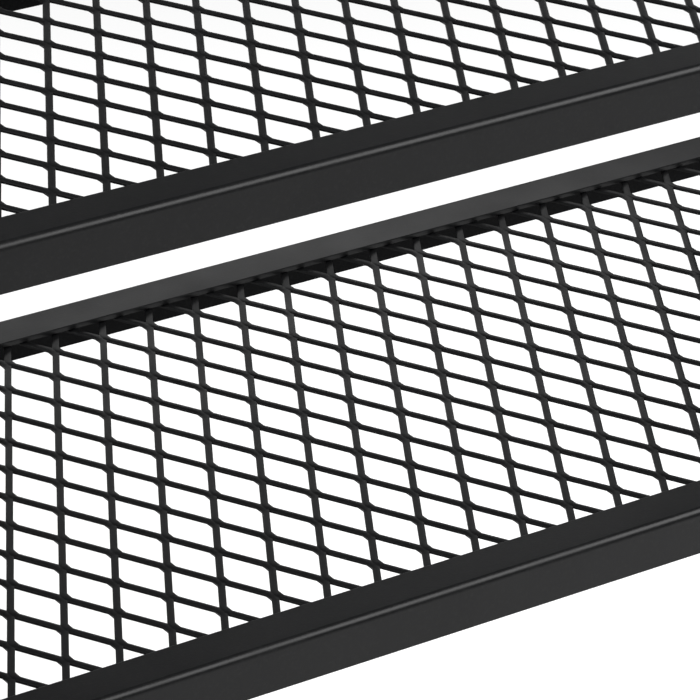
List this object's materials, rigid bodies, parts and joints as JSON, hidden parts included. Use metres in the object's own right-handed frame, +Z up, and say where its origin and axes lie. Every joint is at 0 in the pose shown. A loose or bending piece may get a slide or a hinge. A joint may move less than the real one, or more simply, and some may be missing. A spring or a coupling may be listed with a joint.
{
  "type": "hitch cargo carrier",
  "caption": "Two-tier steel cargo carrier with expanded metal decks in angle-iron frames, folding up on a square hitch shank.",
  "frame": {"origin": "middle of the hitch pin hole, on the shank's axis", "axes": "+Y towards the vehicle along the shank, +X to the right seen from behind the vehicle, +Z up"},
  "size_m": [1.5464, 0.817, 0.2794],
  "materials": {
    "frame_black": "satin black powder coat on steel angle and flat bar",
    "mesh_black": "satin black powder coat on expanded steel",
    "tube_black": "satin black powder coat on square tube",
    "zinc": "bright zinc plate",
    "plug_plastic": "moulded black plastic",
    "knob_plastic": "moulded black plastic, fine grain"
  },
  "bodies": {
    "shank": {"shank": "tube_black", "shank_plug": "plug_plastic", "pivot_bolt": "zinc", "pivot_nut": "zinc", "pivot_washers": "zinc", "clamp_bolt": "zinc", "clamp_washers": "zinc"},
    "decks": {"yoke_plate_left": "frame_black", "yoke_plate_right": "frame_black", "deck_beam": "tube_black", "beam_plug": "plug_plastic", "lower_rear_rail": "frame_black", "lower_front_rail": "frame_black", "lower_left_end_rail": "frame_black", "lower_right_end_rail": "frame_black", "lower_mesh": "mesh_black", "lower_support": "tube_black", "upper_rear_rail": "frame_black", "upper_front_rail": "frame_black", "upper_left_end_rail": "frame_black", "upper_right_end_rail": "frame_black", "upper_mesh": "mesh_black", "upper_support": "tube_black", "front_post_left": "frame_black", "front_post_right": "frame_black", "rear_post_left": "frame_black", "rear_post_right": "frame_black", "centre_front_post": "frame_black", "centre_rear_post": "tube_black", "post_bolts_left": "zinc", "post_nuts_left": "zinc", "post_bolts_right": "zinc", "post_nuts_right": "zinc", "centre_post_bolts": "zinc", "ring_saddle_rear_left": "frame_black", "ring_saddle_rear_right": "frame_black", "ring_saddle_front_left": "frame_black", "ring_saddle_front_right": "frame_black"},
    "clamp_knob": {"clamp_knob": "knob_plastic"},
    "ring_rear_left": {"tie_ring_rear_left": "zinc"},
    "ring_rear_right": {"tie_ring_rear_right": "zinc"},
    "ring_front_left": {"tie_ring_front_left": "zinc"},
    "ring_front_right": {"tie_ring_front_right": "zinc"}
  },
  "joints": [
    {"name": "fold_up", "type": "hinge", "parent": "shank", "child": "decks", "pos_m": [0, -0.345, 0], "axis": [-1, 0, 0], "range_deg": [0, 90]},
    {"name": "knob_turn", "type": "hinge", "parent": "shank", "child": "clamp_knob", "pos_m": [0, -0.285, 0], "axis": [1, 0, 0], "continuous": true},
    {"name": "ring_swing_rear_left", "type": "hinge", "parent": "decks", "child": "ring_rear_left", "pos_m": [-0.7675, -0.722, 0.0381], "axis": [0, 1, 0], "range_deg": [0, 150]},
    {"name": "ring_swing_rear_right", "type": "hinge", "parent": "decks", "child": "ring_rear_right", "pos_m": [0.7675, -0.722, 0.0381], "axis": [0, -1, 0], "range_deg": [0, 150]},
    {"name": "ring_swing_front_left", "type": "hinge", "parent": "decks", "child": "ring_front_left", "pos_m": [-0.7675, -0.494, 0.0381], "axis": [0, 1, 0], "range_deg": [0, 150]},
    {"name": "ring_swing_front_right", "type": "hinge", "parent": "decks", "child": "ring_front_right", "pos_m": [0.7675, -0.494, 0.0381], "axis": [0, -1, 0], "range_deg": [0, 150]}
  ]
}
